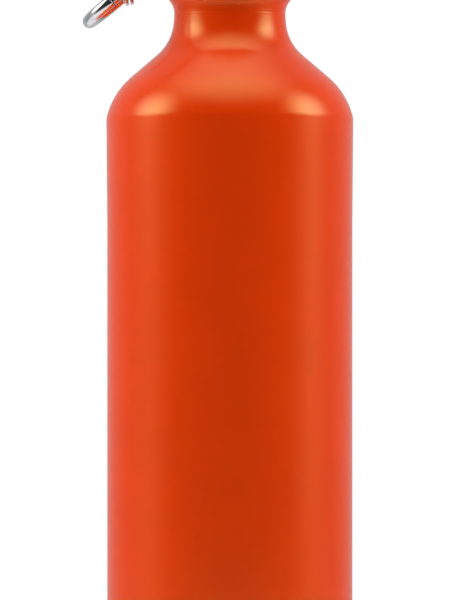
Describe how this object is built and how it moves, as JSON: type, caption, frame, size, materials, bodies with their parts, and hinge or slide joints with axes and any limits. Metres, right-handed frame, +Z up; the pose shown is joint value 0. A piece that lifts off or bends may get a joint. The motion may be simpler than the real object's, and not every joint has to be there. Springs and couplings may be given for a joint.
{
  "type": "aluminium sports flask",
  "caption": "Slim aluminium sports flask with an orange coat, sloping shoulder, rolled mouth, black screw cap with a loop, and a polished snap carabiner with a split ring",
  "frame": {"origin": "On the bottle's axis, on the plane that it stands on, under its recessed base panel.", "axes": "+Z up along the bottle's axis; the carabiner leans down towards -X, and its gate faces -Y, the picture's viewer."},
  "size_m": [0.08, 0.073, 0.2448],
  "materials": {
    "coated_aluminium": "satin orange powder coat over spun aluminium",
    "black_polypropylene": "moulded, satin",
    "grey_silicone": "matt silicone",
    "polished_aluminium": "polished bright",
    "spring_steel": "bright plated steel"
  },
  "bodies": {
    "bottle": {"bottle_shell": "coated_aluminium"},
    "gasket": {"cap_gasket": "grey_silicone"},
    "cap": {"cap": "black_polypropylene"},
    "carabiner": {"carabiner_body": "polished_aluminium", "gate_rivet": "spring_steel"},
    "gate": {"carabiner_gate": "polished_aluminium", "latch_pin": "spring_steel", "gate_spring": "spring_steel"},
    "plunger": {"gate_plunger": "spring_steel"},
    "ring": {"split_ring": "spring_steel"}
  },
  "joints": [
    {"name": "cap_lift", "type": "slide", "parent": "bottle", "child": "gasket", "axis": [0, 0, 1], "range_m": [0, 0.009]},
    {"name": "cap_turn", "type": "hinge", "parent": "gasket", "child": "cap", "pos_m": [0, 0, 0.2154], "axis": [0, 0, 1], "range_deg": [0, 1080]},
    {"name": "carabiner_swing", "type": "hinge", "parent": "cap", "child": "carabiner", "pos_m": [-0.0059, 0, 0.2326], "axis": [0, 1, 0], "range_deg": [0, 210]},
    {"name": "gate_open", "type": "hinge", "parent": "carabiner", "child": "gate", "pos_m": [-0.01382, -0.01, 0.22618], "axis": [0.6296, 0, -0.7769], "range_deg": [0, 16], "stiffness_Nm_per_rad": 0.05, "springref_deg": -17.19},
    {"name": "plunger_slide", "type": "slide", "parent": "gate", "child": "plunger", "axis": [-0.7769, 0, -0.6296], "range_m": [0, 0.0003], "deforming": ["gate_spring"]},
    {"name": "ring_turn", "type": "hinge", "parent": "carabiner", "child": "ring", "pos_m": [-0.03045, 0.01, 0.21271], "axis": [-0.7769, 0, -0.6296], "continuous": true}
  ],
  "couplings": [
    {"joint": "cap_lift", "follows": "cap_turn", "m_per_rad": 0.00047746},
    {"joint": "plunger_slide", "follows": "gate_open", "m_per_rad": 0.001}
  ]
}
